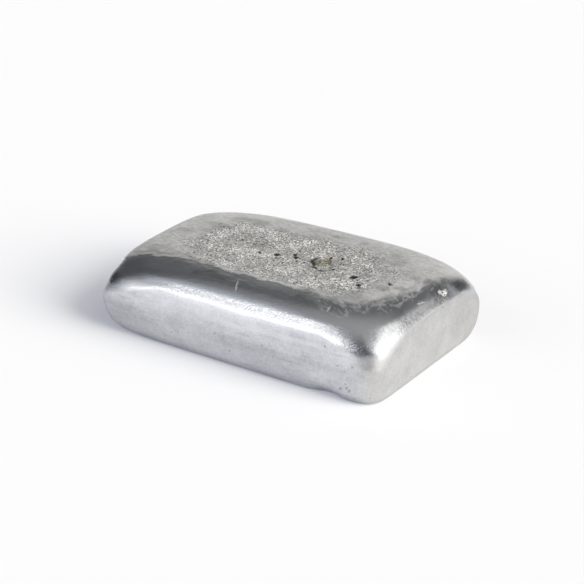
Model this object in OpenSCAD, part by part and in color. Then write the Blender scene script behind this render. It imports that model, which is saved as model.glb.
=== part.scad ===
// Aluminium casting bar: a small open-mould ingot, poured as one piece.
// The lower wall took the mould's draft and rounded foot. Above the contact line the metal
// was free, so it rolled over into a soft shoulder and set with a shallow shrinkage sink.
// Millimetres, +Z up, origin at the middle of the flat base, +X along the length.

/* [Overall size] */
// length over the waist, end to end
bar_len = 90; // [80:0.5:100]
// width over the waist, side to side
bar_wid = 56.5; // [50:0.1:64]
// height of the top above the base, at mid length
bar_h = 22.1; // [20:0.1:25]
// how much the top climbs from mid length to the right end
end_rise = 0.56; // [0:0.01:1]

/* [Mould wall] */
// height of the waist, the widest outline of the bar
waist_h = 9.2; // [8:0.1:10.5]
// inset of the flat base from the waist
base_in = 2.9; // [2:0.1:4]
// height of the contact line, where the metal left the mould wall, along the sides
line_h = 16.1; // [15:0.1:17]
// how much lower the contact line runs in the corners
corner_dip = 2; // [0:0.1:2.5]

/* [Rolled shoulder] */
// inset of the shoulder's inner edge from the waist
roll_w = 9.7; // [8:0.1:11]

/* [Shrinkage on top] */
// depth of the sink in the middle of the top
sink_d = 0.5; // [0:0.05:1]
// half length of the sink
sink_rx = 31; // [26:0.5:34]
// half width of the sink
sink_ry = 15; // [12:0.5:17]
// depth of the shrinkage cavity below the sink
cavity_d = 0.9; // [0:0.05:1.5]
// half length of the cavity
cavity_rx = 4.6; // [3:0.1:6]
// half width of the cavity
cavity_ry = 2.8; // [2.2:0.1:4]
// turn of the cavity's long axis from the bar's length, seen from above
cavity_turn = -45; // [-90:1:90]
// place of the cavity along the length
cavity_x = 9.4; // [4:0.1:16]
// place of the cavity across the width
cavity_y = 0; // [-5:0.1:5]

/* [Under-filled foot] */
// how far the front foot falls short where the metal chilled early
dent_in = 1.5; // [0:0.1:2.5]
// half length of the short stretch
dent_rx = 6.5; // [4:0.1:9]
// height up to which it shows
dent_h = 4.2; // [2.5:0.1:6]
// place of its middle along the front edge
dent_x = 29; // [20:0.5:32]

/* [Hidden] */
// A fullness share says how far the middle of a rounded corner reaches towards the sharp one:
// 0.5 is a straight bevel, 0.707 a quarter ellipse, 1 a sharp corner.
foot_share = 0.71;
roll_share = 0.78;
// plan corners at the left and the right end: on the base, at the waist, inside the shoulder
base_plan_shares = [0.899, 0.941];
waist_plan_shares = [0.953, 0.954];
top_plan_shares = [0.625, 0.685];
// how much of a full curl the wall has between the waist and the contact line
curl_share = 0.7;
// angle from a plan diagonal at which the contact line is back at its full height
corner_span = 20;
// how evenly the outline's points spread: 1 by angle, less crowds them into the corners
spread_share = 0.6;

around = 84;
foot_rings = 8;
wall_rings = 4;
roll_rings = 10;
top_rings = 18;
// how fast the top's rings close in on the cavity: 0 evenly, more crowds them there
close_share = 0.55;
// size of the innermost ring against the shoulder's inner edge
core_share = 0.03;
half_turn = 180;
quarter_turn = 90;
metal_colour = [0.77, 0.77, 0.77];

// exponent of the superellipse whose corner has the given fullness
function power(full_share) = ln(1 / 2) / ln(full_share);

function blend(from, to, part_share) = from + (to - from) * part_share;

// cosine and sine of a superellipse, from zero at either end of the quarter
function super_cos(angle, p) = pow(max(cos(angle), 0), 2 / p);
function super_sin(angle, p) = pow(max(sin(angle), 0), 2 / p);

// smooth hump: 1 in the middle, 0 and level from the rim outwards
function hump(q) = q < 1 ? (1 + cos(half_turn * q)) / 2 : 0;

foot_p = power(foot_share);
roll_p = power(roll_share);
shoulder_h = bar_h - waist_h;
line_rise_share = (line_h - waist_h) / shoulder_h;
line_angle = asin(pow(line_rise_share, roll_p / 2));
line_in = roll_w * (1 - super_cos(line_angle, roll_p));

// Each outline is [height, inset from the waist, plan fullness left, plan fullness right].
function foot_outline(angle) =
    let (inset_share = 1 - super_sin(angle, foot_p))
    [
        waist_h * (1 - super_cos(angle, foot_p)),
        base_in * inset_share,
        blend(waist_plan_shares[0], base_plan_shares[0], inset_share),
        blend(waist_plan_shares[1], base_plan_shares[1], inset_share)
    ];

function upper_outline(height, inset) = [
    height,
    inset,
    blend(waist_plan_shares[0], top_plan_shares[0], inset / roll_w),
    blend(waist_plan_shares[1], top_plan_shares[1], inset / roll_w)
];

outlines = [
    for (i = [0 : foot_rings])
        foot_outline(quarter_turn * i / foot_rings),
    for (i = [1 : wall_rings])
        let (u = i / wall_rings)
        upper_outline(blend(waist_h, line_h, u), line_in * pow(u, 1 + curl_share)),
    for (i = [1 : roll_rings])
        let (angle = blend(line_angle, quarter_turn, i / roll_rings))
        upper_outline(
            waist_h + shoulder_h * super_sin(angle, roll_p),
            roll_w * (1 - super_cos(angle, roll_p))
        )
];
last = len(outlines) - 1;

// directions of an outline's points seen from the middle, crowded towards the corners
function toward(c, s) = atan2(
    bar_wid * sign(s) * pow(abs(s), spread_share),
    bar_len * sign(c) * pow(abs(c), spread_share)
);
directions = [
    for (i = [0 : around - 1])
        toward(cos(2 * half_turn * i / around), sin(2 * half_turn * i / around))
];

function plan_reach(angle, a, b, p) =
    pow(pow(abs(cos(angle)) / a, p) + pow(abs(sin(angle)) / b, p), -1 / p);

function on_outline(outline, angle) =
    let (
        p = power(cos(angle) < 0 ? outline[2] : outline[3]),
        reach = plan_reach(angle, bar_len / 2 - outline[1], bar_wid / 2 - outline[1], p)
    )
    [reach * cos(angle), reach * sin(angle)];

// angle between a direction and the nearest plan diagonal
function off_corner(angle) =
    abs(atan2(abs(sin(angle)) / bar_wid, abs(cos(angle)) / bar_len) - quarter_turn / 2);

// in the corners the wall and the shoulder bend down with the contact line
function dipped(height, angle) =
    let (reach = height < line_h ? line_h - waist_h : bar_h - line_h)
    height - corner_dip * hump(off_corner(angle) / corner_span) * hump(abs(height - line_h) / reach);

// the top and the walls climb together towards the right end
function climbed(height, x) = height * (1 + end_rise / bar_h * x / (bar_len / 2));

// the foot's short stretch is on the front side only
function dent(x, y, height) =
    y < 0 ? dent_in * hump(abs(x - dent_x) / dent_rx) * hump(height / dent_h) : 0;

function wall_point(outline, angle) =
    let (
        at = on_outline(outline, angle),
        height = outline[0]
    )
    [at[0], at[1] + dent(at[0], at[1], height), climbed(dipped(height, angle), at[0])];

function top_point(x, y) =
    let (
        sink = sink_d * hump(norm([x / sink_rx, y / sink_ry])),
        along = (x - cavity_x) * cos(cavity_turn) + (y - cavity_y) * sin(cavity_turn),
        across = (y - cavity_y) * cos(cavity_turn) - (x - cavity_x) * sin(cavity_turn),
        off = norm([along / cavity_rx, across / cavity_ry]),
        cavity = cavity_d * hump(off * off)
    )
    [x, y, climbed(bar_h, x) - sink - cavity];

wall_points = [
    for (outline = outlines, angle = directions)
        wall_point(outline, angle)
];

top_points = [
    for (i = [1 : top_rings], angle = directions)
        let (
            away_share = blend(core_share, 1, pow(1 - i / top_rings, 1 + close_share)),
            at = blend([cavity_x, cavity_y], on_outline(outlines[last], angle), away_share)
        )
        top_point(at[0], at[1])
];

points = concat(wall_points, top_points, [top_point(cavity_x, cavity_y), [0, 0, 0]]);
deepest = len(points) - 2;
base_middle = len(points) - 1;
bands = last + top_rings;

// two triangles between neighbouring outlines, seen from outside in clockwise order
side_faces = [
    for (band = [0 : bands - 1], i = [0 : around - 1], half = [0, 1])
        let (
            j = (i + 1) % around,
            low = band * around,
            high = low + around
        )
        half == 0 ? [low + i, high + i, low + j] : [low + j, high + i, high + j]
];

cavity_faces = [
    for (i = [0 : around - 1])
        [bands * around + i, deepest, bands * around + (i + 1) % around]
];

base_faces = [
    for (i = [0 : around - 1])
        [i, (i + 1) % around, base_middle]
];

// the bar: a loft through the outlines, closed by the flat base and the sunk top
module casting_bar() {
    color(metal_colour)
        polyhedron(points, concat(base_faces, side_faces, cavity_faces));
}

casting_bar();
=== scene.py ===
"""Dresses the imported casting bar: a dense as-cast skin with its aluminium, a pale floor, soft light and the camera."""
import itertools
import math

import bpy
import numpy as np
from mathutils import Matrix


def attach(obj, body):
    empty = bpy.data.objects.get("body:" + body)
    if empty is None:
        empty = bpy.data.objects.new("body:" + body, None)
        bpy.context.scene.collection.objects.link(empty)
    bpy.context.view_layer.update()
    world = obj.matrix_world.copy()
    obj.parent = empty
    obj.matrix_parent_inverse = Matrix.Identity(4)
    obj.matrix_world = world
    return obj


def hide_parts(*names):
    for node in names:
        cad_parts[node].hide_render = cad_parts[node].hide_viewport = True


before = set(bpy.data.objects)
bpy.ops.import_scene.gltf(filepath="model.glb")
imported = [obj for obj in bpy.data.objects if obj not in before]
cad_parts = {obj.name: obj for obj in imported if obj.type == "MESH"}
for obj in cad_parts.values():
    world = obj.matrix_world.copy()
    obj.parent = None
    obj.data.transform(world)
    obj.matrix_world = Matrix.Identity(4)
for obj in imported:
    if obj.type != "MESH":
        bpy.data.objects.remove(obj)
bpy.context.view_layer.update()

MM = 0.001
NODE = "casting_bar"

# Shape of the bar in millimetres, as the solid has it
BAR_LEN, BAR_WID, BAR_H = 90.0, 56.5, 22.1
END_RISE = 0.56
WAIST_H = 9.2
BASE_IN = 2.9
LINE_H = 16.1
CORNER_DIP, CORNER_SPAN = 2.0, 20.0
ROLL_W = 9.7
SINK_D, SINK_RX, SINK_RY = 0.5, 31.0, 15.0
DENT_IN, DENT_RX, DENT_H, DENT_X = 1.5, 6.5, 4.2, 29.0
FOOT_SHARE, ROLL_SHARE, CURL_SHARE = 0.71, 0.78, 0.7
BASE_PLAN_SHARES = (0.899, 0.941)
WAIST_PLAN_SHARES = (0.953, 0.954)
TOP_PLAN_SHARES = (0.625, 0.685)

# Fineness of the skin: quads along half the top's length and width, rings up the side, points that pace out the roll
HALF_X, HALF_Y = 128, 80
FOOT_RINGS, WALL_RINGS, ROLL_RINGS = 18, 10, 40
ROLL_STEPS = 2000

# Contact line against the solid's, in millimetres. Its dip at the near corner is cut off flat at NEAR_DIP_MOST,
# and the place and half span of that dip are in degrees, as near_turn gives them
LINE_UP, LINE_FRONT_UP, LINE_LEFT_DOWN = 0.4, 0.3, 1.4
NEAR_DIP, NEAR_DIP_MOST, NEAR_DIP_TURN, NEAR_DIP_SPAN = 4.2, 3.3, 43, 18
OTHER_DIP_SHARE = 1.5

# Border of the skin that set first: its front and right lines with their bends, and how round it turns between them
SKIN_FRONT_Y, SKIN_FRONT_BACK, SKIN_FRONT_OUT = -16.8, 8, 2
SKIN_RIGHT_X, SKIN_RIGHT_OUT = 38.8, 2.7
SKIN_TURN_R = 3

# The frosty zone on top: its middle, half sizes and the exponent of its outline
FROST_X, FROST_Y, FROST_RX, FROST_RY = 0.0, -2.0, 34.5, 19.0
FROST_POWER = 2.3

# Heights and depths of the fine relief in millimetres
LIP_H, LIP_UP, LIP_W = 0.03, 0.8, 0.7
SKIN_H, WRINKLE_H = 0.06, 0.06
SKIN_EDGE_H, SKIN_EDGE_IN, SKIN_EDGE_W = 0.08, 0.4, 0.45
CROWN_DROP, FAR_RIGHT_DROP = 0.5, 0.35
HOLLOW_D, HOLLOW_FLOOR_UP = 0.7, 0.35
PINHOLE_D = 0.3

# Heights between which the relief sets in above the base
RELIEF_FROM = (0.4, 1.6)

# Layers of noise: cell in millimetres, which may differ by axis, strength and seed. UPRIGHT keeps one the same all the
# way up. Those of the ridges lie along the skin's border, by way along it and distance inside it
UPRIGHT = 1000
LINE_WAVES = (((15, 15, UPRIGHT), 0.2, 3), ((4, 4, UPRIGHT), 0.12, 4))
WALL_CLOUDS = (((12, 12, 5), 0.05, 5), ((4, 4, 1.5), 0.02, 6))
WALL_PATCHES = (((7, 7, 3), 0.1, 82), ((2.2, 2.2, 1.4), 0.06, 83))
FREE_WAVES = ((9.0, 0.05, 41),)
BORDER_WAVES = (((6.0, 6.0, UPRIGHT), 0.8, 35), ((2.4, 2.4, UPRIGHT), 0.6, 35), ((0.9, 0.9, UPRIGHT), 0.35, 35))
FINE_RIDGES = (((3.5, 1.0, 1), 1.0, 31), ((1.3, 0.6, 1), 0.5, 32))
BROAD_RIDGES = (((7.0, 2.0, 1), 1.0, 33), ((2.4, 0.9, 1), 0.4, 34))
FROST_WAVES = ((8.0, 0.12, 11), (3.0, 0.09, 12))
FROST_GRAIN = ((0.42, 0.05, 21), (0.9, 0.05, 22), (2.2, 0.06, 23))

# Pits in the frost: x, y, half length, half width, depth. All are turned alike, in degrees
PIT_TURN = 34
PITS = (
    (21.7, -2.6, 1.2, 1.15, 0.7),
    (25.6, -6.3, 0.6, 1.0, 0.5),
    (24.4, -5.0, 0.45, 0.55, 0.4),
    (26.4, -7.8, 0.35, 0.7, 0.4),
    (26.1, -2.9, 0.45, 0.6, 0.4),
    (23.5, -3.9, 0.4, 0.6, 0.4),
    (32.2, -1.7, 0.4, 0.9, 0.5),
    (-4.3, -0.3, 0.85, 0.85, 0.6),
    (-3.2, -2.2, 0.35, 0.6, 0.4),
    (0.2, 2.2, 0.6, 0.9, 0.6),
    (1.3, 0.9, 0.65, 1.0, 0.6),
    (-8.9, -1.7, 0.4, 0.75, 0.5),
    (-17.7, 2.7, 0.35, 0.75, 0.5),
    (9.7, 5.2, 0.4, 0.75, 0.5),
    (12.8, 6.0, 0.4, 0.8, 0.5),
    (14.2, -0.9, 0.6, 0.75, 0.5),
    (2.8, -1.1, 0.35, 0.7, 0.4),
    (0.5, -4.2, 0.35, 0.7, 0.4),
    (5.1, -0.9, 0.3, 0.6, 0.4),
    (-13.3, 2.1, 0.3, 0.6, 0.4),
    (-0.3, 5.0, 0.35, 0.7, 0.4),
)

# The main hollow and the higher floor in it: x, y, half length, half width, turn in degrees
HOLLOW = (9.9, 0.5, 5.0, 2.7, -45)
HOLLOW_FLOOR = (9.8, 1.6, 4.4, 2.4, -45)

# Stains: the same five, then the share of the size that is fully stained, and the strength
STAINS = ((8.7, 2.5, 3.0, 2.5, 20, 0.6, 1.0), (-11.6, 1.8, 2.6, 1.8, 20, 0.5, 0.35))

# Pinholes in the front wall: x, height, half size
PINHOLES = (
    (34.0, 4.0, 0.6),
    (35.9, 4.6, 0.45),
    (36.5, 3.9, 0.5),
    (16.6, 5.0, 0.45),
    (-29.6, 6.3, 0.4),
    (3.4, 7.2, 0.35),
)

# Scuffs on the right end: y, height, half length, half width, turn, share that is fully scuffed, seed, strength
SCUFFS = ((8.2, 19.5, 2.6, 0.9, -14, 0.6, 61, 1.0), (-2.5, 20.4, 1.6, 0.4, -8, 0.5, 62, 0.6))
SCUFF_MIN_X = 38

# Scratches in the front shoulder: x, y, half length, half width, turn, seed
SCRATCHES = ((-1.7, -22.2, 3.0, 0.24, -64, 63), (25.9, -21.0, 1.7, 0.22, 98, 64))
SCRATCH_MIN_H = 18

# Colours of the metal. Pairs are the ends of a mix, and the wall's pairs are for the front and for the right end
# The second colour of the first pair is painted dark reflection, mixed into the free metal at the near corner, the
# left end and far back on the right
FREE_COLOUR, PAINTED_DARK_REFLECTION_COLOUR = (0.8, 0.805, 0.815, 1), (0.34, 0.35, 0.38, 1)
# The wall's darker colours, towards which both its painted shade and its mottling pull it
WALL_DARK = (0.41, 0.416, 0.443, 1), (0.42, 0.416, 0.405, 1)
WALL_PALE = (0.735, 0.742, 0.775, 1), (0.74, 0.735, 0.72, 1)
SPECK_COLOUR = (0.25, 0.25, 0.26, 1)
SKIN_COLOURS = (0.57, 0.568, 0.564, 1), (0.82, 0.817, 0.81, 1)
CREASE_COLOUR = (0.96, 0.955, 0.945, 1)
FROST_COLOURS = (0.42, 0.414, 0.395, 1), (0.92, 0.91, 0.885, 1)
WHITE_COLOUR = (0.95, 0.945, 0.93, 1)
PORE_COLOUR = (0.12, 0.115, 0.105, 1)
# Painted shade, mixed into the skin around the frost and along the left part of its border
PAINTED_SHADE_COLOUR = (0.34, 0.34, 0.335, 1)
STAIN_COLOUR = (0.33, 0.3, 0.17, 1)
# Painted shade of the pits, the main hollow and the pinholes
PAINTED_PIT_SHADE_COLOUR = (0.04, 0.038, 0.034, 1)
SCUFF_COLOUR = (0.62, 0.62, 0.58, 1)

# How strongly some of these colours show
SPECK_SHARE, PORE_SHARE, CREASE_SHARE, PAINTED_SHADE_SHARE = 0.6, 0.8, 0.35, 0.45

# Roughness and metalness by zone. Pairs are the ends of a mix
FREE_ROUGH, SKIN_ROUGH, WALL_ROUGH, FROST_ROUGH = (0.2, 0.28), (0.34, 0.5), (0.36, 0.5), 0.42
FREE_METAL, SKIN_METAL, FROST_METAL, WHITE_METAL = 1.0, 0.68, 0.8, 0.3

# How far the crystals lean, and how strongly the peel shows. ROLL_LEANS is for the front and for the right end
UPPER_LEAN, ROLL_LEANS, WALL_LEAN, FROST_LEAN = 0.01, (0.08, 0.06), 0.05, 1.0
UPPER_PEEL, ROLL_PEEL, WALL_PEEL = 0.1, 0.75, 0.2

# Sizes of the metal's texture and depths of its bumps in millimetres, and by how much some of it is drawn out
CLOUD_MM, GRAIN_MM, PEEL_MM, FIBRE_MM, STREAK_MM, DRIFT_MM, SCUFF_MM = 6.0, 1.3, 0.4, 0.7, 0.8, 7.0, 0.5
CRYSTAL_MM, PORE_MM, SPECK_MM = 0.31, 1.0, 2.1
PEEL_BUMP_MM, FIBRE_BUMP_MM, WALL_BUMP_MM = 0.06, 0.1, 0.06
FIBRE_DRAW, STREAK_DRAW = (0.42, 1.0, 1.0), (0.09, 0.09, 1.0)

# Where along x the look of the front turns into that of the right end
RIGHT_END = (36 * MM, 44 * MM)

# Floor: half size in metres, its colour, and the light that it seems to give off
FLOOR_HALF = 3.0
FLOOR_COLOUR = (0.68, 0.68, 0.68, 1)
FLOOR_LIFT = (0.165, 0.175, 0.21, 1)

# Room: its colour low and high, and the sines of the elevations between which it changes
SKY_LOW, SKY_HIGH = (0.115, 0.117, 0.123, 1), (0.33, 0.333, 0.34, 1)
SKY_CHANGE = (0.68, 1.02)

# Panels of the studio, each mixed over the ones before: azimuth, half width and fade of its sides, height and fade
# of its upper edge, all in degrees, and its colour
PANELS = (
    (165, 33, 15, 46, 13, (0.055, 0.058, 0.066, 1)),  # dark, on the left
    (-88, 13, 8, 66, 10, (0.07, 0.077, 0.095, 1)),  # dark and tall, in front
    (-62, 45, 8, 19, 6, (0.72, 0.725, 0.74, 1)),  # low and pale, around the camera
    (-54, 25, 8, 34, 8, (0.74, 0.745, 0.76, 1)),  # pale, behind the camera
    (121, 30, 10, 28, 10, (0.62, 0.62, 0.615, 1)),  # pale, behind the bar
    (-135, 30, 11, 62, 12, (0.35, 0.375, 0.42, 1)),  # grey and tall, front left
    (-137, 24, 9, 32, 15, (0.92, 0.94, 0.98, 1)),  # bright, front left
    (-117, 13, 6, 43, 12, (1.75, 1.76, 1.78, 1)),  # brighter, front left
    (-113, 6, 4, 56, 9, (2.2, 2.21, 2.24, 1)),  # narrow and brightest, front left
    (-96, 12, 5, 23, 8, (0.2, 0.21, 0.235, 1)),  # low and dark, in front
    (67, 11, 6, 26, 8, (0.03, 0.031, 0.033, 1)),  # low and black, back right
    (26, 21, 6, 33, 10, (1.4, 1.4, 1.38, 1)),  # bright, back right
    (3, 37, 22, 72, 14, (1.5, 1.5, 1.48, 1)),  # large and bright, on the right
)

# Key lamp: strength, size and direction in degrees, colour
KEY_ENERGY, KEY_ANGLE = 4.1, 38
KEY_AZIMUTH, KEY_ELEVATION = 0, 28
KEY_COLOUR = (1.0, 0.965, 0.89)

# Photograph: frame width in pixels, and the camera that the bar's outline gives; its distance is a guess
PHOTO_PX = 584
CAMERA_AZIMUTH, CAMERA_ELEVATION = math.radians(34.2), math.radians(24.77)
CAMERA_DISTANCE = 480 * MM
CAMERA_TARGET = np.array((0, 0, 9 * MM))
PX_PER_MM = 3.691
TARGET_OFF_PX = (-1.93, 8.46)
SENSOR_MM = 36
CLIP_START = 0.01


# Numbers and noise
def power(full_share):
    """Exponent of the superellipse whose corner has the given fullness."""
    return np.log(0.5) / np.log(full_share)


def blend(start, end, share):
    return start + (end - start) * share


def smooth(low, high, value):
    """0 below low, 1 above high, smooth between. low may be the larger."""
    t = np.clip((value - low) / (high - low), 0, 1)
    return t * t * (3 - 2 * t)


def hump(q):
    """1 in the middle, 0 and level from q = 1 outwards."""
    return np.where(q < 1, (1 + np.cos(np.pi * np.minimum(q, 1))) / 2, 0)


def hashed(x, y, z, seed):
    """A fixed number from 0 to 1 for every lattice corner."""
    n = (x * 374761393 + y * 668265263 + z * 1103515245 + seed * 1274126177) & 0xFFFFFFFF
    n = ((n ^ (n >> 13)) * 1274126177) & 0xFFFFFFFF
    return ((n ^ (n >> 16)) & 0xFFFF) / 0xFFFF


def noise(points, cell, seed):
    """Smooth noise from -1 to 1 with humps about one cell across; cell may differ by axis."""
    scaled = points / cell
    corner = np.floor(scaled).astype(np.int64)
    weight = scaled - corner
    weight = weight * weight * (3 - 2 * weight)
    total = np.zeros(len(points))
    for step in itertools.product((0, 1), repeat=3):
        share = np.prod(np.where(step, weight, 1 - weight), axis=1)
        total += share * hashed(*(corner + step).T, seed)
    return 2 * total - 1


def layered(points, layers):
    """Sum of layers of noise."""
    return sum(strength * noise(points, cell, seed) for cell, strength, seed in layers)


# The bar's surface
def side_outlines():
    """Height, inset from the waist and plan fullness (left, right) of each outline from the base to the top's rim."""
    foot_p, roll_p = power(FOOT_SHARE), power(ROLL_SHARE)
    rows = []
    for angle in np.linspace(0, np.pi / 2, FOOT_RINGS + 1):
        inset_share = 1 - np.sin(angle) ** (2 / foot_p)
        height = WAIST_H * (1 - max(np.cos(angle), 0) ** (2 / foot_p))
        plan = blend(np.array(WAIST_PLAN_SHARES), np.array(BASE_PLAN_SHARES), inset_share)
        rows.append((height, BASE_IN * inset_share, *plan))

    def upper(height, inset):
        plan = blend(np.array(WAIST_PLAN_SHARES), np.array(TOP_PLAN_SHARES), inset / ROLL_W)
        rows.append((height, inset, *plan))

    shoulder_h = BAR_H - WAIST_H
    line_angle = np.arcsin(((LINE_H - WAIST_H) / shoulder_h) ** (roll_p / 2))
    line_in = ROLL_W * (1 - np.cos(line_angle) ** (2 / roll_p))
    for u in np.linspace(0, 1, WALL_RINGS + 1)[1:]:
        upper(blend(WAIST_H, LINE_H, u), line_in * u ** (1 + CURL_SHARE))
    angles = np.linspace(line_angle, np.pi / 2, ROLL_STEPS)
    rise = np.sin(angles) ** (2 / roll_p)
    inset = 1 - np.maximum(np.cos(angles), 0) ** (2 / roll_p)
    way = np.cumsum(np.hypot(np.diff(inset, prepend=inset[0]), np.diff(rise, prepend=rise[0])))
    for mark in np.linspace(0, way[-1], ROLL_RINGS + 1)[1:]:
        upper(WAIST_H + shoulder_h * np.interp(mark, way, rise), ROLL_W * np.interp(mark, way, inset))
    return np.array(rows)


def on_outline(outline, angle):
    """Plan points of an outline in the given directions."""
    _, inset, left, right = outline
    p = np.where(np.cos(angle) < 0, power(left), power(right))
    across = np.abs(np.cos(angle)) / (BAR_LEN / 2 - inset)
    along = np.abs(np.sin(angle)) / (BAR_WID / 2 - inset)
    reach = (across ** p + along ** p) ** (-1 / p)
    return np.stack((reach * np.cos(angle), reach * np.sin(angle)), axis=1)


def corner_dip(x, y):
    """How much lower the contact line runs towards the plan diagonals."""
    turn = np.degrees(np.arctan2(np.abs(y) / BAR_WID, np.abs(x) / BAR_LEN))
    return CORNER_DIP * hump(np.abs(turn - 45) / CORNER_SPAN)


def near_turn(x, y):
    """Direction from the middle in degrees: 45 on the plan diagonal to the corner nearest the camera."""
    return np.degrees(np.arctan2(-y / BAR_WID, x / BAR_LEN))


def dipped(height, x, y):
    """In the corners the wall and the shoulder bend down with the contact line."""
    reach = LINE_H - WAIST_H if height < LINE_H else BAR_H - LINE_H
    return height - corner_dip(x, y) * hump(abs(height - LINE_H) / reach)


def climbed(height, x):
    """The bar grows evenly taller towards its right end."""
    return height * (1 + END_RISE / BAR_H * x / (BAR_LEN / 2))


def direction(i, j):
    """Direction from the middle in which a cell corner of the top's grid lies."""
    return np.arctan2(j / HALF_Y * BAR_WID, i / HALF_X * BAR_LEN)


def grid_border():
    """The top grid's border corners, anticlockwise from the right end."""
    i, j = HALF_X, HALF_Y
    right_up = [(i, b) for b in range(0, j)]
    back = [(a, j) for a in range(i, -i, -1)]
    left = [(-i, b) for b in range(j, -j, -1)]
    front = [(a, -j) for a in range(-i, i)]
    right_low = [(i, b) for b in range(-j, 0)]
    return right_up + back + left + front + right_low


def smooth_surface():
    """Vertices in millimetres and faces of the bar before its relief: rings up the side, then the top's grid."""
    border = grid_border()
    angles = direction(*np.array(border).T)
    outlines = side_outlines()
    around = len(border)
    rings = []
    for outline in outlines:
        at = on_outline(outline, angles)
        short = DENT_IN * hump(np.abs(at[:, 0] - DENT_X) / DENT_RX) * hump(outline[0] / DENT_H)
        at[:, 1] += np.where(at[:, 1] < 0, short, 0)
        rings.append(np.column_stack((at, climbed(dipped(outline[0], *at.T), at[:, 0]))))
    count = len(rings)
    faces = []
    for ring in range(count - 1):
        low, high = ring * around, (ring + 1) * around
        for k in range(around):
            n = (k + 1) % around
            faces.append((low + k, low + n, high + n, high + k))
    faces.append(tuple(range(around - 1, -1, -1)))

    index = {corner: (count - 1) * around + k for k, corner in enumerate(border)}
    inner = list(itertools.product(range(1 - HALF_X, HALF_X), range(1 - HALF_Y, HALF_Y)))
    index.update((corner, count * around + k) for k, corner in enumerate(inner))
    i, j = np.array(inner).T
    away = np.maximum(np.abs(i) / HALF_X, np.abs(j) / HALF_Y)
    at = on_outline(outlines[-1], direction(i, j)) * away[:, None]
    sink = SINK_D * hump(np.hypot(at[:, 0] / SINK_RX, at[:, 1] / SINK_RY))
    top = np.column_stack((at, climbed(BAR_H, at[:, 0]) - sink))
    for i, j in itertools.product(range(-HALF_X, HALF_X), range(-HALF_Y, HALF_Y)):
        faces.append((index[i, j], index[i + 1, j], index[i + 1, j + 1], index[i, j + 1]))
    return np.concatenate(rings + [top]), faces


# Fine relief and zones. Level is the height without the right end's rise. The bare pairs in smooth() are where a
# change begins and ends: millimetres of x, y, level or distance inside the skin, or degrees of turn
def spot(x, y, at_x, at_y, long, wide, turn):
    """Distance from a turned ellipse's middle: 1 on its rim."""
    c, s = np.cos(np.radians(turn)), np.sin(np.radians(turn))
    return np.hypot(((x - at_x) * c + (y - at_y) * s) / long, ((y - at_y) * c - (x - at_x) * s) / wide)


def top_share(level):
    """1 on the top face, fading out on the upper roll."""
    return smooth(BAR_H - 2.6, BAR_H - 1.0, level)


def pit_depths(points):
    """How deep the pits and the main hollow are at each point, how dark the painted shade makes them, and where they
    are stained.
    """
    x, y, _ = points.T
    ragged = 0.25 * noise(points, 0.9, 51)
    depth, dark, stain = np.zeros((3, len(x)))
    for *place, deep in PITS:
        q = spot(x, y, *place, PIT_TURN) + ragged
        depth = np.maximum(depth, deep * smooth(1.0, 0.4, q))
        dark = np.maximum(dark, min(1, 2 * deep) * smooth(1.15, 0.85, q))
    hollow = spot(x, y, *HOLLOW) + ragged
    floor = spot(x, y, *HOLLOW_FLOOR) + ragged
    depth = np.maximum(depth, HOLLOW_D * smooth(1.1, 0.7, hollow) - HOLLOW_FLOOR_UP * smooth(1.0, 0.3, floor))
    # Painted shade: a dark crescent around the main hollow's front and left side
    crescent = smooth(1.15, 1.0, hollow) * smooth(0.88, 0.98, floor) * smooth(5.0, 3.0, y) * smooth(13.5, 11.5, x)
    for *place, core, strength in STAINS:
        stain = np.maximum(stain, strength * smooth(1.1, core, spot(x, y, *place) + ragged))
    return depth, np.maximum(dark, 0.95 * crescent), stain


def pinhole_depths(points):
    """How deep the pinholes of the front wall are at each point, and how dark the painted shade makes them."""
    x, y, z = points.T
    ragged = 0.2 * noise(points, 0.8, 71)
    depth, dark = np.zeros((2, len(x)))
    for at_x, at_z, size in PINHOLES:
        q = spot(x, z, at_x, at_z, size, size, 0) + ragged
        depth += PINHOLE_D * smooth(1.0, 0.3, q) * (y < 0)
        dark = np.maximum(dark, 0.55 * smooth(1.0, 0.4, q) * (y < 0))
    return depth, dark


def mark_shares(points):
    """Where scuffs and scratches lie, 0 to 1."""
    x, y, z = points.T
    marked = np.zeros(len(x))
    for *place, core, seed, strength in SCUFFS:
        q = spot(y, z, *place) + 0.7 * noise(points, 0.8, seed)
        marked = np.maximum(marked, strength * smooth(1.0, core, q) * (x > SCUFF_MIN_X))
    for *place, seed in SCRATCHES:
        q = spot(x, y, *place) + 0.3 * noise(points, 0.8, seed)
        marked = np.maximum(marked, 0.8 * smooth(1.0, 0.4, q) * (z > SCRATCH_MIN_H))
    return marked


def contact_line(points):
    """Height at which the metal left the mould wall: lower in the corners and at the left end, and a little wavy."""
    x, y, _ = points.T
    near = np.minimum(NEAR_DIP * hump(np.abs(near_turn(x, y) - NEAR_DIP_TURN) / NEAR_DIP_SPAN), NEAR_DIP_MOST)
    low = np.where((x > 0) & (y < 0), near, OTHER_DIP_SHARE * corner_dip(x, y))
    up = LINE_UP + LINE_FRONT_UP * smooth(43, 38, x) - LINE_LEFT_DOWN * smooth(-24, -40, x)
    return LINE_H + up - low + layered(points, LINE_WAVES)


def mould_wall(points, level):
    """How far the mould wall shows, 0 to 1, and the relief of the wall, of the lip over it and of the free metal."""
    x, y, _ = points.T
    above = level - contact_line(points)
    soft = 0.3 + 0.15 * smooth(38, 30, x) + 0.4 * smooth(-25, -42, x) + 0.15 * corner_dip(x, y) * smooth(20, 40, x)
    wall = smooth(1, -1, above / soft)
    lip = LIP_H * np.exp(-(((above - LIP_UP) / LIP_W) ** 2))
    return wall, wall * layered(points, WALL_CLOUDS) + lip + (1 - wall) * layered(points, FREE_WAVES)


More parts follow.
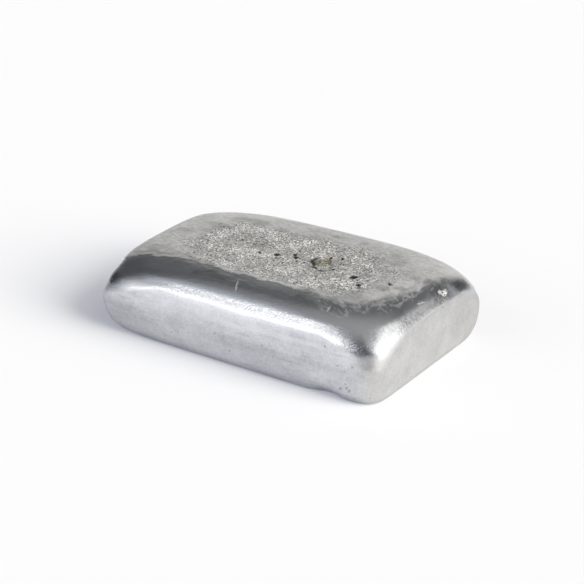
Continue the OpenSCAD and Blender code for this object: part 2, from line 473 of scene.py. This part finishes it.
def wall_tone_and_painted_shade(points, level):
    """How pale the mould wall is, 0 to 1. Painted shade makes it darker below the waist, at the foot, to the left and
    just under the contact line on the right of the front. It is also darker towards the back of the right end, with
    level streaks and patches from the mould.
    """
    x, y, _ = points.T
    front = smooth(44, 36, x)
    # Painted shade: darker below the waist and to the left, at the foot, and just under the contact line on the right
    # of the front
    tone_and_painted_shade = 0.7 + front * (0.16 - 0.4 * smooth(14, 9, level)) - 0.22 * smooth(-12, -42, x)
    tone_and_painted_shade -= 0.35 * smooth(3.0, 0.8, level) + (1 - front) * 0.12 * smooth(-5, 20, y)
    tone_and_painted_shade -= 0.22 * front * smooth(13.5, 15.0, level) * smooth(5, 25, x)
    streak = smooth(0.2, 0.6, noise(points, (16, 16, 1.3), 81)) * smooth(3, 6, level)
    return tone_and_painted_shade - 0.16 * front * streak + layered(points, WALL_PATCHES)


def skin_inside(points):
    """Distance inside the front and right border of the skin that set first on top, in millimetres."""
    x, y, _ = points.T
    front = SKIN_FRONT_Y + SKIN_FRONT_BACK * smooth(29, 39, x) - SKIN_FRONT_OUT * smooth(-30, -40, x)
    right = SKIN_RIGHT_X + SKIN_RIGHT_OUT * smooth(6, 15, y)
    return -SKIN_TURN_R * np.log(np.exp((front - y) / SKIN_TURN_R) + np.exp((x - right) / SKIN_TURN_R))


def along_border(points, inside):
    """Points laid out by their way along the skin's border and their distance inside it."""
    return np.column_stack((points[:, 0] + points[:, 1], inside, np.zeros(len(points))))


def flow_lines(points, inside):
    """Short raised lines along the border of the skin, where it wrinkled, 0 to 2."""
    bent = along_border(points, inside + 1.2 * noise(points, 5.0, 37))
    fine, broad = (np.abs(layered(bent, ridges)) for ridges in (FINE_RIDGES, BROAD_RIDGES))
    return smooth(0.35, 0.0, fine) + smooth(0.3, 0.0, broad)


def set_skin(points, level):
    """The skin that set first: distance inside its ragged border, its flow lines, how far it covers, and its relief.

    To the right the border frays, and outside it the free shoulder turns a little towards the middle.
    """
    x, y, _ = points.T
    inside = skin_inside(points)
    lines = flow_lines(points, inside)
    frayed = smooth(8, 24, x)
    crown_from = 1.2 + 6 * frayed * smooth(14, 4, y)
    crown = CROWN_DROP * smooth(crown_from, -5.5, inside) * smooth(BAR_H - 7.0, BAR_H - 3.0, level)
    far_right = FAR_RIGHT_DROP * smooth(16.5, 20.5, level) * smooth(36, 42, x) * smooth(2, 12, y)

    inside += layered(points, BORDER_WAVES)
    inside += frayed * (smooth(12, 4, y) * (1.5 * lines - 0.6 + 0.6 * noise(points, 2.0, 40)) - 0.4)
    wisps = 0.4 * smooth(20, 28, x) * smooth(41, 39.5, x) * smooth(0.4, 1.0, lines) * smooth(-8.0, -1.5, inside)
    skin = np.maximum(smooth(-0.35, 0.35, inside / (1 + 7 * frayed)), wisps)
    skin *= smooth(BAR_H - 4.5, BAR_H - 2.5, level)
    edge = np.exp(-(((inside - SKIN_EDGE_IN) / SKIN_EDGE_W) ** 2)) * (1 - frayed) * skin
    return inside, lines, skin, SKIN_H * skin + SKIN_EDGE_H * edge - crown - far_right


def frost_distance(points):
    """Distance from the frost's middle: 1 on its wavy outline."""
    x, y, _ = points.T
    across, along = np.abs((x - FROST_X) / FROST_RX), np.abs((y - FROST_Y) / FROST_RY)
    return (across ** FROST_POWER + along ** FROST_POWER) ** (1 / FROST_POWER) + layered(points, FROST_WAVES)


def wrinkle_share(points, level, inside, frost_q):
    """Where the skin is wrinkled, 0 to 1: along its border, at the right and around the frost."""
    x, y, _ = points.T
    border = 0.6 * smooth(-0.6, 0.4, inside) * smooth(5.0, 1.5, inside)
    right = smooth(22, 30, x) * smooth(41, 39.5, x) * smooth(-6.0, -1.0, inside) * smooth(13, 3, y)
    right *= smooth(BAR_H - 1.8, BAR_H - 0.9, level)
    rim = 0.35 * smooth(0.8, 0.95, frost_q) * smooth(1.35, 1.1, frost_q) * top_share(level)
    return np.maximum.reduce((border, right, rim))


def painted_shade_share(points, level, inside, frost_q):
    """Painted shade on the skin: darker patches around the frost, and darker streaks along the left part of its
    border.
    """
    patches = smooth(0.0, 0.5, noise(points, (4.0, 2.6, 9.0), 13))
    patches *= smooth(0.7, 0.9, frost_q) * smooth(1.25, 1.05, frost_q) * top_share(level)
    streaks = 0.5 + 1.1 * smooth(0.0, 0.5, noise(along_border(points, inside), (5.0, 1.4, 1), 38))
    streaks *= smooth(6.0, 1.0, inside) * smooth(-0.2, 0.6, inside) * smooth(-12, -20, points[:, 0])
    return np.maximum(patches, streaks * smooth(BAR_H - 3.5, BAR_H - 1.5, level))


def painted_dark_reflection_share(points, level):
    """Painted dark reflection on the free metal: darker in a streak at the near corner, at the left end and far back
    on the right.
    """
    x, y, _ = points.T
    turn = near_turn(x, y)
    foot = smooth(15.5, 14.0, level)
    near = smooth(44.3, 46, turn + 3.0 * foot) * smooth(54, 51, turn) * smooth(19, 16.5, level)
    near *= 0.5 + 0.2 * foot * smooth(50, 47.5, turn)
    left = smooth(-31.5, -39.5, x) * smooth(11, 12, level) * smooth(17.2, 15.2, level) * (y < 0)
    far = (0.8 - 0.36 * smooth(13, 17, y)) * smooth(7, 10, y) * smooth(38, 42, x) * smooth(20.3, 19.2, level)
    return np.maximum.reduce((near, left, far))


def relief(points):
    """Height of the fine relief above the smooth surface, in millimetres, and the zones that the metal follows."""
    x, _, z = points.T
    level = z / climbed(1, x)
    on_top = top_share(level)
    wall, wall_height = mould_wall(points, level)
    inside, lines, skin, skin_height = set_skin(points, level)
    frost_q = frost_distance(points)
    frost = smooth(1.08, 0.74, frost_q) * on_top * smooth(0.0, 2.5, inside)
    creases = wrinkle_share(points, level, inside, frost_q) * lines
    pit_depth, pit_shade, stain = pit_depths(points)
    hole_depth, pinhole_shade = pinhole_depths(points)

    height = wall_height + skin_height + WRINKLE_H * creases + frost * layered(points, FROST_GRAIN)
    height *= smooth(*RELIEF_FROM, z)
    zones = {
        "frost": frost,
        "skin": skin,
        "wall": wall,
        "tone_and_painted_shade": wall_tone_and_painted_shade(points, level),
        "low_roll": smooth(BAR_H - 0.8, BAR_H - 3.5, level),
        "painted_pit_shade": np.maximum(pit_shade, pinhole_shade),
        "shade": painted_shade_share(points, level, inside, frost_q),
        "painted_dark_reflection": painted_dark_reflection_share(points, level),
        "stain": stain * on_top,
        "crease": np.minimum(creases, 1),
        "scuff": mark_shares(points),
    }
    return height - hole_depth - pit_depth * on_top, zones


def make_bar():
    """The bar's skin: the smooth surface, pushed out or in by its relief."""
    points, faces = smooth_surface()
    mesh = bpy.data.meshes.new("bar_skin")
    mesh.from_pydata((points * MM).tolist(), [], faces)
    normals = np.empty(len(points) * 3)
    mesh.vertex_normals.foreach_get("vector", normals)
    height, zones = relief(points)
    points = points + normals.reshape(-1, 3) * height[:, None]
    points[:, 2] = np.maximum(points[:, 2], 0)
    mesh.vertices.foreach_set("co", (points * MM).ravel())
    mesh.polygons.foreach_set("use_smooth", np.ones(len(faces), dtype=bool))
    for name, values in zones.items():
        mesh.attributes.new(name, "FLOAT", "POINT").data.foreach_set("value", values)
    mesh.update()
    bar = bpy.data.objects.new("bar_skin", mesh)
    bpy.context.collection.objects.link(bar)
    return bar


# Materials
class Nodes:
    """Short calls that add nodes to a material or world and link them."""

    def __init__(self, owner):
        owner.use_nodes = True
        self.tree = owner.node_tree
        self.tree.nodes.clear()

    def add(self, kind, settings=None, **inputs):
        node = self.tree.nodes.new("ShaderNode" + kind)
        for key, value in (settings or {}).items():
            setattr(node, key, value)
        for key, value in inputs.items():
            self.put(node, key.replace("_", " "), value)
        return node

    def put(self, node, key, value):
        socket = node.inputs[key]
        if isinstance(value, bpy.types.NodeSocket):
            self.tree.links.new(value, socket)
        else:
            socket.default_value = value

    def put_all(self, node, *values, places=(0, 1, 2)):
        """Fill sockets by their places, and give the node back."""
        for place, value in zip(places, values):
            self.put(node, place, value)
        return node

    def math(self, operation, *values):
        return self.put_all(self.add("Math", {"operation": operation}), *values).outputs[0]

    def vector(self, operation, *values):
        return self.put_all(self.add("VectorMath", {"operation": operation}), *values).outputs["Vector"]

    def dot(self, a, b):
        return self.put_all(self.add("VectorMath", {"operation": "DOT_PRODUCT"}), a, b).outputs["Value"]

    def ranged(self, value, low, high):
        """0 at low, 1 at high, smooth between."""
        node = self.add("MapRange", {"interpolation_type": "SMOOTHSTEP"}, Value=value, From_Min=low, From_Max=high)
        return node.outputs["Result"]

    def mix(self, share, a, b):
        """Blend of two numbers."""
        return self.put_all(self.add("Mix", {"data_type": "FLOAT"}), share, a, b, places=(0, 2, 3)).outputs[0]

    def mix_colour(self, share, a, b):
        return self.put_all(self.add("Mix", {"data_type": "RGBA"}), share, a, b, places=(0, 6, 7)).outputs[2]

    def zone(self, name):
        return self.add("Attribute", {"attribute_name": name}).outputs["Fac"]

    def noise(self, place, size_mm, detail=2.0, roughness=0.5):
        node = self.add("TexNoise", Vector=place, Scale=1 / (size_mm * MM), Detail=detail, Roughness=roughness)
        return node.outputs["Fac"]

    def cells(self, place, size_mm):
        return self.add("TexVoronoi", Vector=place, Scale=1 / (size_mm * MM)).outputs

    def dots(self, place, size_mm, chosen, radius):
        """Round dots in some of the cells; chosen and radius give where the choice and the rim begin and end."""
        cells = self.cells(place, size_mm)
        red = self.add("SeparateColor", Color=cells["Color"]).outputs[0]
        return self.math("MULTIPLY", self.ranged(red, *chosen), self.ranged(cells["Distance"], *radius))


def wall_look(n, place, mottle, peel, right_end):
    """Colour of the wall: mottled and streaked by the mould, with dark specks, warmer at the right end."""
    # The wall's painted shade comes in with its zone, on top of its mottle and peel
    tone_and_painted_shade = n.math("ADD", n.zone("tone_and_painted_shade"), n.math("MULTIPLY_ADD", mottle, 1.2, -0.6))
    tone_and_painted_shade = n.math("ADD", tone_and_painted_shade, n.math("MULTIPLY_ADD", peel, 0.9, -0.45))
    streaks = n.noise(n.vector("MULTIPLY", place, STREAK_DRAW), STREAK_MM, detail=3.0)
    streak = n.ranged(streaks, 0.56, 0.7)
    tone_and_painted_shade = n.math("SUBTRACT", tone_and_painted_shade, n.math("MULTIPLY", streak, n.mix(right_end, 0.2, 0.0)))
    colour = n.mix_colour(tone_and_painted_shade, n.mix_colour(right_end, *WALL_DARK), n.mix_colour(right_end, *WALL_PALE))
    speck = n.dots(place, SPECK_MM, chosen=(0.86, 0.9), radius=(0.19, 0.11))
    return n.mix_colour(n.math("MULTIPLY", speck, SPECK_SHARE), colour, SPECK_COLOUR)


def frost_look(n, place, crystals):
    """Frost of random crystals, some white, with pores: how far it covers, how white it is, and its colour."""
    red, green, blue = n.add("SeparateColor", Color=crystals).outputs
    frosted = n.ranged(n.math("SUBTRACT", n.zone("frost"), n.math("MULTIPLY", red, 0.8)), 0.0, 0.2)
    drift = n.ranged(n.noise(place, DRIFT_MM), 0.45, 0.62)
    white = n.math("MULTIPLY", n.ranged(n.math("MULTIPLY_ADD", drift, 0.28, green), 0.84, 0.96), frosted)
    pore = n.dots(place, PORE_MM, chosen=(0.78, 0.82), radius=(0.38, 0.24))
    colour = n.mix_colour(n.ranged(blue, 0.2, 0.8), *FROST_COLOURS)
    colour = n.mix_colour(white, colour, WHITE_COLOUR)
    return frosted, white, n.mix_colour(n.math("MULTIPLY", pore, PORE_SHARE), colour, PORE_COLOUR)


def crystal_normal(n, crystals, frosted, wall, low_roll, right_end):
    """Normal of the crystals: those of the free metal lean a little at random, those of the frost a lot."""
    free_lean = n.mix(low_roll, UPPER_LEAN, n.mix(right_end, *ROLL_LEANS))
    leaning = n.mix(frosted, n.mix(wall, free_lean, WALL_LEAN), FROST_LEAN)
    random_turn = n.vector("SUBTRACT", crystals, (0.5, 0.5, 0.5))
    lean = n.add("VectorMath", {"operation": "SCALE"}, Vector=random_turn, Scale=leaning).outputs["Vector"]
    return n.vector("NORMALIZE", n.vector("ADD", n.add("NewGeometry").outputs["Normal"], lean))


def cast_aluminium():
    """Aluminium as cast: bright on the shoulder, dull on the mould wall, matt, frosty and pitted on top."""
    material = bpy.data.materials.new("cast_aluminium")
    n = Nodes(material)
    place = n.add("TexCoord").outputs["Object"]
    skin, wall, low_roll = (n.zone(name) for name in ("skin", "wall", "low_roll"))
    right_end = n.ranged(n.add("SeparateXYZ", Vector=place).outputs["X"], *RIGHT_END)
    clouds = n.noise(place, CLOUD_MM, detail=3.0)
    peel = n.noise(place, PEEL_MM, roughness=0.6)
    grain = n.noise(place, GRAIN_MM, detail=4.0, roughness=0.7)
    mottle = n.math("MULTIPLY_ADD", clouds, 0.5, n.math("MULTIPLY", grain, 0.5))
    fibres = n.noise(n.vector("MULTIPLY", place, FIBRE_DRAW), FIBRE_MM, detail=3.0, roughness=0.6)
    crystals = n.cells(place, CRYSTAL_MM)["Color"]
    frosted, white, frost_colour = frost_look(n, place, crystals)
    scuff = n.math("MULTIPLY", n.zone("scuff"), n.ranged(n.noise(place, SCUFF_MM), 0.4, 0.56))

    skin_tone = n.math("MULTIPLY_ADD", fibres, 0.4, n.math("MULTIPLY", mottle, 0.6))
    skin_colour = n.mix_colour(n.ranged(skin_tone, 0.4, 0.6), *SKIN_COLOURS)
    skin_colour = n.mix_colour(n.math("MULTIPLY", n.zone("crease"), CREASE_SHARE), skin_colour, CREASE_COLOUR)
    # Painted dark reflection darkens the free metal at the near corner, the left end and far back on the right
    colour = n.mix_colour(skin, n.mix_colour(n.zone("painted_dark_reflection"), FREE_COLOUR, PAINTED_DARK_REFLECTION_COLOUR), skin_colour)
    colour = n.mix_colour(wall, colour, wall_look(n, place, mottle, peel, right_end))
    colour = n.mix_colour(frosted, colour, frost_colour)
    # Painted shade on the skin around the frost and along the left part of its border
    colour = n.mix_colour(n.math("MULTIPLY", n.zone("shade"), PAINTED_SHADE_SHARE), colour, PAINTED_SHADE_COLOUR)
    colour = n.mix_colour(n.math("MULTIPLY", n.zone("stain"), n.ranged(peel, 0.3, 0.6)), colour, STAIN_COLOUR)
    # Painted shade in the pits, the main hollow and the pinholes
    colour = n.mix_colour(n.zone("painted_pit_shade"), colour, PAINTED_PIT_SHADE_COLOUR)
    colour = n.mix_colour(scuff, colour, SCUFF_COLOUR)

    roughness = n.mix(skin, n.mix(peel, *FREE_ROUGH), n.mix(clouds, *SKIN_ROUGH))
    roughness = n.mix(wall, roughness, n.mix(mottle, *WALL_ROUGH))
    roughness = n.mix(n.math("MAXIMUM", frosted, scuff), roughness, FROST_ROUGH)
    metallic = n.mix(frosted, n.mix(skin, FREE_METAL, SKIN_METAL), FROST_METAL)
    metallic = n.mix(n.math("MAXIMUM", white, scuff), metallic, WHITE_METAL)

    normal = crystal_normal(n, crystals, frosted, wall, low_roll, right_end)
    peel_strength = n.mix(wall, n.mix(low_roll, UPPER_PEEL, ROLL_PEEL), WALL_PEEL)
    for height, depth_mm, strength in (
        (peel, PEEL_BUMP_MM, peel_strength),
        (fibres, FIBRE_BUMP_MM, skin),
        (mottle, WALL_BUMP_MM, wall),
    ):
        bump = n.add("Bump", Height=height, Distance=depth_mm * MM, Strength=strength, Normal=normal)
        normal = bump.outputs[0]
    shader = n.add("BsdfPrincipled", Metallic=metallic, Base_Color=colour, Roughness=roughness, Normal=normal)
    n.add("OutputMaterial", Surface=shader.outputs[0])
    return material


def pale_floor():
    """Near-white floor. What the camera and the metal see of it is lifted, so that the shadow stays soft and cool."""
    material = bpy.data.materials.new("pale_floor")
    n = Nodes(material)
    path = n.add("LightPath").outputs
    seen = n.math("ADD", path["Is Camera Ray"], path["Is Glossy Ray"])
    seen = n.math("MINIMUM", n.math("ADD", seen, path["Is Transmission Ray"]), 1.0)
    lit = n.add("BsdfDiffuse", Color=FLOOR_COLOUR).outputs[0]
    lift = n.add("Emission", Color=FLOOR_LIFT, Strength=seen).outputs[0]
    both = n.put_all(n.add("AddShader"), lit, lift)
    n.add("OutputMaterial", Surface=both.outputs[0])
    return material


# Stage, light and camera
def make_floor():
    half = FLOOR_HALF
    mesh = bpy.data.meshes.new("floor")
    mesh.from_pydata([(-half, -half, 0), (half, -half, 0), (half, half, 0), (-half, half, 0)], [], [(0, 1, 2, 3)])
    floor = bpy.data.objects.new("floor", mesh)
    mesh.materials.append(pale_floor())
    bpy.context.collection.objects.link(floor)


def studio_world():
    """Dim room with soft panels, bright and dark, so that the metal has something to show."""
    world = bpy.data.worlds.new("studio")
    bpy.context.scene.world = world
    n = Nodes(world)
    way = n.add("TexCoord").outputs["Generated"]
    height = n.add("SeparateXYZ", Vector=way).outputs["Z"]
    heading = n.vector("NORMALIZE", n.vector("MULTIPLY", way, (1, 1, 0)))
    sky = n.mix_colour(n.ranged(height, *SKY_CHANGE), SKY_LOW, SKY_HIGH)
    for azimuth, half, fade, top, top_fade, colour in PANELS:
        toward = n.dot(heading, (math.cos(math.radians(azimuth)), math.sin(math.radians(azimuth)), 0))
        outer, inner = (math.cos(math.radians(half + side * fade)) for side in (1, -1))
        high, low = (math.sin(math.radians(top + side * top_fade)) for side in (1, -1))
        share = n.math("MULTIPLY", n.ranged(toward, outer, inner), n.ranged(height, high, low))
        sky = n.mix_colour(share, sky, colour)
    n.add("OutputWorld", Surface=n.add("Background", Color=sky, Strength=1.0).outputs[0])


def make_sun():
    """Broad soft key from the picture's right. The metal shows the panels instead of it."""
    lamp = bpy.data.lights.new("key", "SUN")
    lamp.energy = KEY_ENERGY
    lamp.angle = math.radians(KEY_ANGLE)
    lamp.color = KEY_COLOUR
    key = bpy.data.objects.new("key", lamp)
    key.visible_glossy = False
    bpy.context.collection.objects.link(key)
    key.rotation_euler = (math.radians(90 - KEY_ELEVATION), 0, math.radians(90 + KEY_AZIMUTH))


def make_camera():
    data = bpy.data.cameras.new("camera")
    data.sensor_width = SENSOR_MM
    data.lens = PX_PER_MM * CAMERA_DISTANCE / MM * SENSOR_MM / PHOTO_PX
    data.shift_x = -TARGET_OFF_PX[0] / PHOTO_PX
    data.shift_y = TARGET_OFF_PX[1] / PHOTO_PX
    data.clip_start = CLIP_START
    camera = bpy.data.objects.new("camera", data)
    bpy.context.collection.objects.link(camera)
    flat = math.cos(CAMERA_ELEVATION)
    back = np.array((
        math.sin(CAMERA_AZIMUTH) * flat,
        -math.cos(CAMERA_AZIMUTH) * flat,
        math.sin(CAMERA_ELEVATION),
    ))
    camera.location = CAMERA_TARGET + back * CAMERA_DISTANCE
    camera.rotation_euler = (math.pi / 2 - CAMERA_ELEVATION, 0, CAMERA_AZIMUTH)
    bpy.context.scene.camera = camera


bar = make_bar()
bar.data.materials.append(cast_aluminium())
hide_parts(NODE)
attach(bar, "root")
make_floor()
studio_world()
make_sun()
make_camera()
bpy.context.scene.view_settings.view_transform = "Standard"
